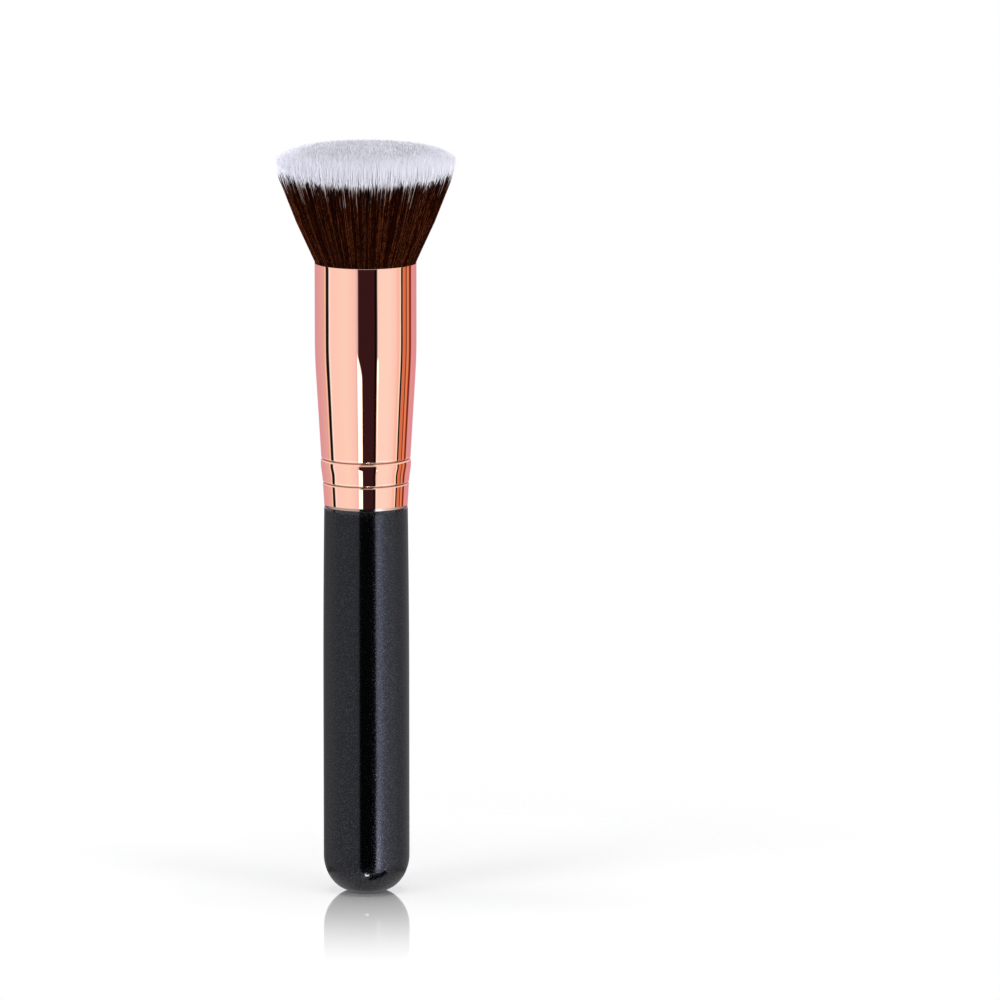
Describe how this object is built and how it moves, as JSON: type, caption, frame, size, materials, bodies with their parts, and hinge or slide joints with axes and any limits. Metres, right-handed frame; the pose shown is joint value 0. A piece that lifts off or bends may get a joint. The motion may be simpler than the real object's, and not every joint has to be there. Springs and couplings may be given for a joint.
{
  "type": "kabuki makeup brush",
  "caption": "Flat-top kabuki makeup brush: flared brown and white synthetic tuft in a polished rose-gold tapered ferrule with rolled crimps, on a straight round-ended handle.",
  "frame": {"origin": "centre of the small flat on the butt end of the handle", "axes": "+Z along the brush from the butt end of the handle to the face of the tuft; the brush is round about Z, so X and Y are free"},
  "size_m": [0.035, 0.0348, 0.1478],
  "materials": {
    "handle_lacquer": "glossy black pearl lacquer over turned wood",
    "glue": "set epoxy glue",
    "rose_gold": "polished and anodised rose gold",
    "resin": "cast epoxy resin",
    "thread": "waxed nylon thread",
    "fibre": "fine synthetic fibre, dark brown with white tips"
  },
  "bodies": {
    "root": {"handle": "handle_lacquer", "tenon_glue": "glue", "ferrule": "rose_gold", "root_resin": "resin", "root_thread": "thread", "bristles": "fibre"}
  },
  "joints": []
}
